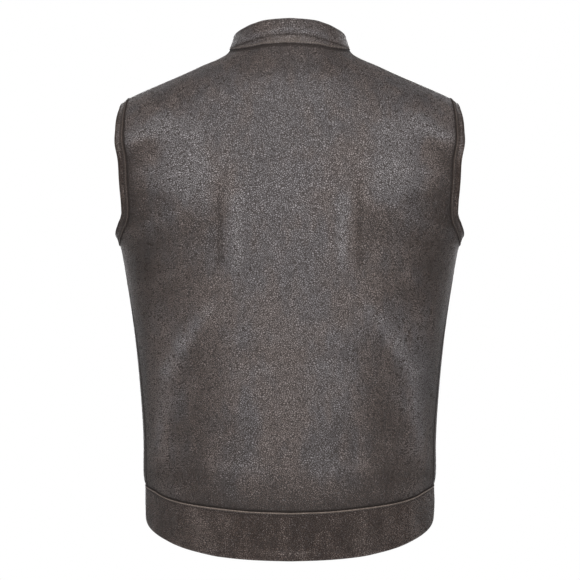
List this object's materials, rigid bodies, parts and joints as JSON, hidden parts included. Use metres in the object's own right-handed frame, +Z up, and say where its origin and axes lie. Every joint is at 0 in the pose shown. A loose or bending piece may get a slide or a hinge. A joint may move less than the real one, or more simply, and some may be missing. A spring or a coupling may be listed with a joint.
{
  "type": "leather vest",
  "caption": "Men's leather vest filled out as worn: one-piece back, zipped fronts, short stand collar, hem band and folded armhole strips.",
  "frame": {"origin": "midway between the two points where the shoulder seams meet the neck, where the wearer's neck and shoulders hold the vest", "axes": "+Z up, the front faces -Y and the back +Y, +X towards the wearer's left; +X is across the plane of symmetry"},
  "size_m": [0.4616, 0.27, 0.6949],
  "materials": {
    "hide": "distressed grey-brown pebbled grain, worn satin",
    "hide_trim": "the same hide folded double, slightly darker",
    "zip_tape": "woven black tape with dark metal teeth",
    "zip_metal": "dark antique plating"
  },
  "bodies": {
    "vest": {"back_panel": "hide", "front_panel_left": "hide", "front_panel_right": "hide", "collar": "hide_trim", "hem_band_back": "hide_trim", "hem_band_front_left": "hide_trim", "hem_band_front_right": "hide_trim", "armhole_strip_left": "hide_trim", "armhole_strip_right": "hide_trim", "zip_tape_left": "zip_tape", "zip_tape_right": "zip_tape", "zip_slider": "zip_metal"},
    "pull_tab": {"zip_pull_tab": "zip_metal"}
  },
  "joints": [
    {"name": "pull_tab_swing", "type": "hinge", "parent": "vest", "child": "pull_tab", "pos_m": [0, -0.08836, -0.086], "axis": [-1, 0, 0], "range_deg": [0, 150]}
  ]
}
